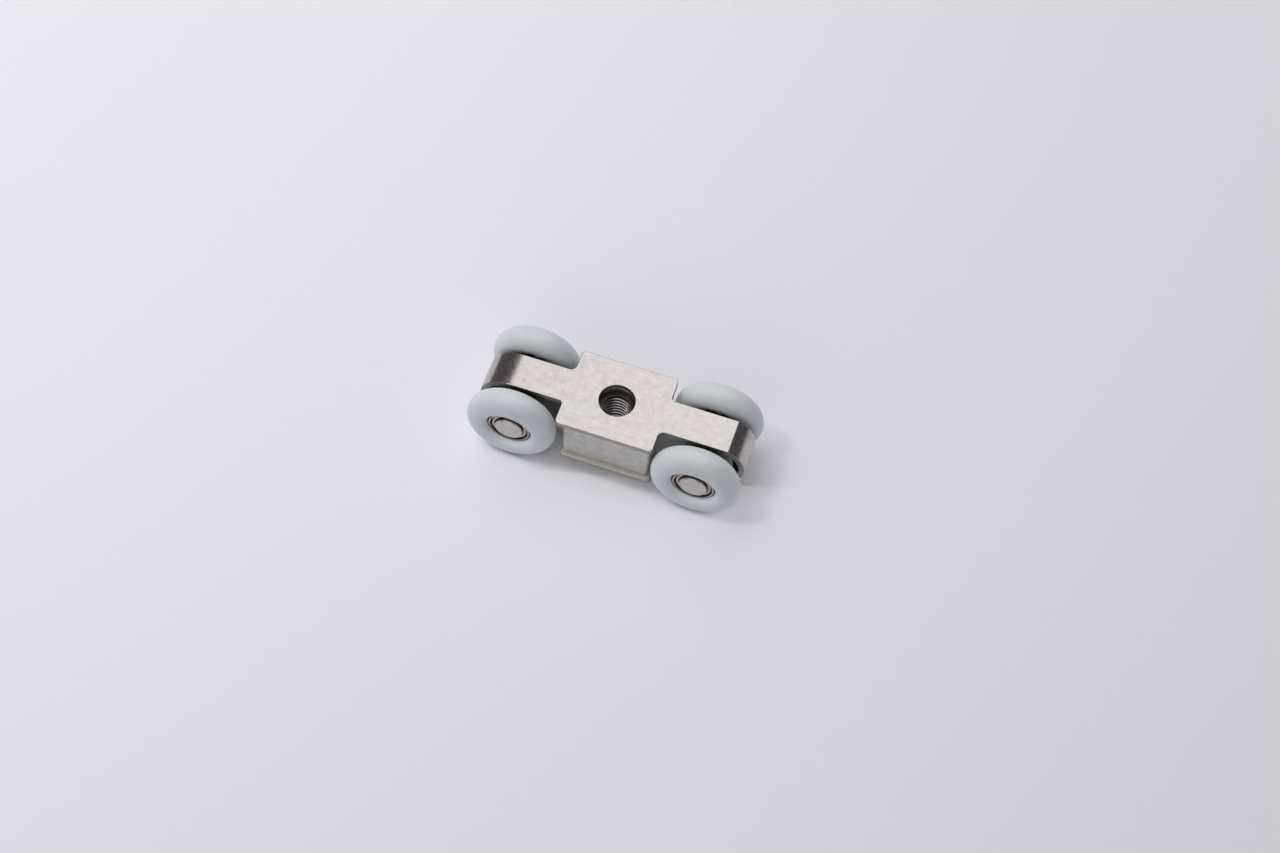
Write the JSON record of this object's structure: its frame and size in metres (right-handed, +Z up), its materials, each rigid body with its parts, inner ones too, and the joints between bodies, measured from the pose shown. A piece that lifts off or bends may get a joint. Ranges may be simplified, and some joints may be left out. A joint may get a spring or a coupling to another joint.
{
  "type": "sliding door hanger roller",
  "caption": "Four-wheel trolley that runs in a sliding door's top track: nylon wheels on shielded ball bearings, stainless strap body and a central hanger thread.",
  "frame": {"origin": "on the rolling plane of the wheels, straight below the axis of the hanger thread", "axes": "+X along the track and the longest side, +Y across the carriage along the wheel axles, +Z up along the hanger thread"},
  "size_m": [0.0678, 0.0254, 0.022],
  "materials": {
    "brushed_stainless": "brushed",
    "satin_steel": "satin",
    "bush_steel": "turned",
    "axle_steel": "turned",
    "nylon": "satin",
    "bearing_steel": "ground",
    "shield_steel": "pressed",
    "ball_steel": "polished",
    "cage_nylon": "moulded"
  },
  "bodies": {
    "carriage": {"strap_frame": "brushed_stainless", "core_block": "satin_steel", "threaded_bush": "bush_steel", "axle_left": "axle_steel", "axle_right": "axle_steel", "spacer_front_left": "bush_steel", "spacer_front_right": "bush_steel", "spacer_rear_left": "bush_steel", "spacer_rear_right": "bush_steel", "inner_ring_front_left": "bearing_steel", "inner_ring_front_right": "bearing_steel", "inner_ring_rear_left": "bearing_steel", "inner_ring_rear_right": "bearing_steel"},
    "wheel_front_left": {"tyre_front_left": "nylon", "outer_ring_front_left": "bearing_steel", "shield_outer_front_left": "shield_steel", "shield_inner_front_left": "shield_steel"},
    "ball_set_front_left": {"balls_front_left": "ball_steel", "cage_front_left": "cage_nylon"},
    "wheel_front_right": {"tyre_front_right": "nylon", "outer_ring_front_right": "bearing_steel", "shield_outer_front_right": "shield_steel", "shield_inner_front_right": "shield_steel"},
    "ball_set_front_right": {"balls_front_right": "ball_steel", "cage_front_right": "cage_nylon"},
    "wheel_rear_left": {"tyre_rear_left": "nylon", "outer_ring_rear_left": "bearing_steel", "shield_outer_rear_left": "shield_steel", "shield_inner_rear_left": "shield_steel"},
    "ball_set_rear_left": {"balls_rear_left": "ball_steel", "cage_rear_left": "cage_nylon"},
    "wheel_rear_right": {"tyre_rear_right": "nylon", "outer_ring_rear_right": "bearing_steel", "shield_outer_rear_right": "shield_steel", "shield_inner_rear_right": "shield_steel"},
    "ball_set_rear_right": {"balls_rear_right": "ball_steel", "cage_rear_right": "cage_nylon"}
  },
  "joints": [
    {"name": "wheel_spin_front_left", "type": "hinge", "parent": "carriage", "child": "wheel_front_left", "pos_m": [-0.0229, -0.00925, 0.011], "axis": [0, 1, 0], "continuous": true},
    {"name": "ball_set_spin_front_left", "type": "hinge", "parent": "carriage", "child": "ball_set_front_left", "pos_m": [-0.0229, -0.00925, 0.011], "axis": [0, 1, 0], "continuous": true},
    {"name": "wheel_spin_front_right", "type": "hinge", "parent": "carriage", "child": "wheel_front_right", "pos_m": [0.0229, -0.00925, 0.011], "axis": [0, 1, 0], "continuous": true},
    {"name": "ball_set_spin_front_right", "type": "hinge", "parent": "carriage", "child": "ball_set_front_right", "pos_m": [0.0229, -0.00925, 0.011], "axis": [0, 1, 0], "continuous": true},
    {"name": "wheel_spin_rear_left", "type": "hinge", "parent": "carriage", "child": "wheel_rear_left", "pos_m": [-0.0229, 0.00925, 0.011], "axis": [0, 1, 0], "continuous": true},
    {"name": "ball_set_spin_rear_left", "type": "hinge", "parent": "carriage", "child": "ball_set_rear_left", "pos_m": [-0.0229, 0.00925, 0.011], "axis": [0, 1, 0], "continuous": true},
    {"name": "wheel_spin_rear_right", "type": "hinge", "parent": "carriage", "child": "wheel_rear_right", "pos_m": [0.0229, 0.00925, 0.011], "axis": [0, 1, 0], "continuous": true},
    {"name": "ball_set_spin_rear_right", "type": "hinge", "parent": "carriage", "child": "ball_set_rear_right", "pos_m": [0.0229, 0.00925, 0.011], "axis": [0, 1, 0], "continuous": true}
  ],
  "couplings": [
    {"joint": "ball_set_spin_front_left", "follows": "wheel_spin_front_left", "ratio": 0.598},
    {"joint": "ball_set_spin_front_right", "follows": "wheel_spin_front_right", "ratio": 0.598},
    {"joint": "ball_set_spin_rear_left", "follows": "wheel_spin_rear_left", "ratio": 0.598},
    {"joint": "ball_set_spin_rear_right", "follows": "wheel_spin_rear_right", "ratio": 0.598}
  ]
}
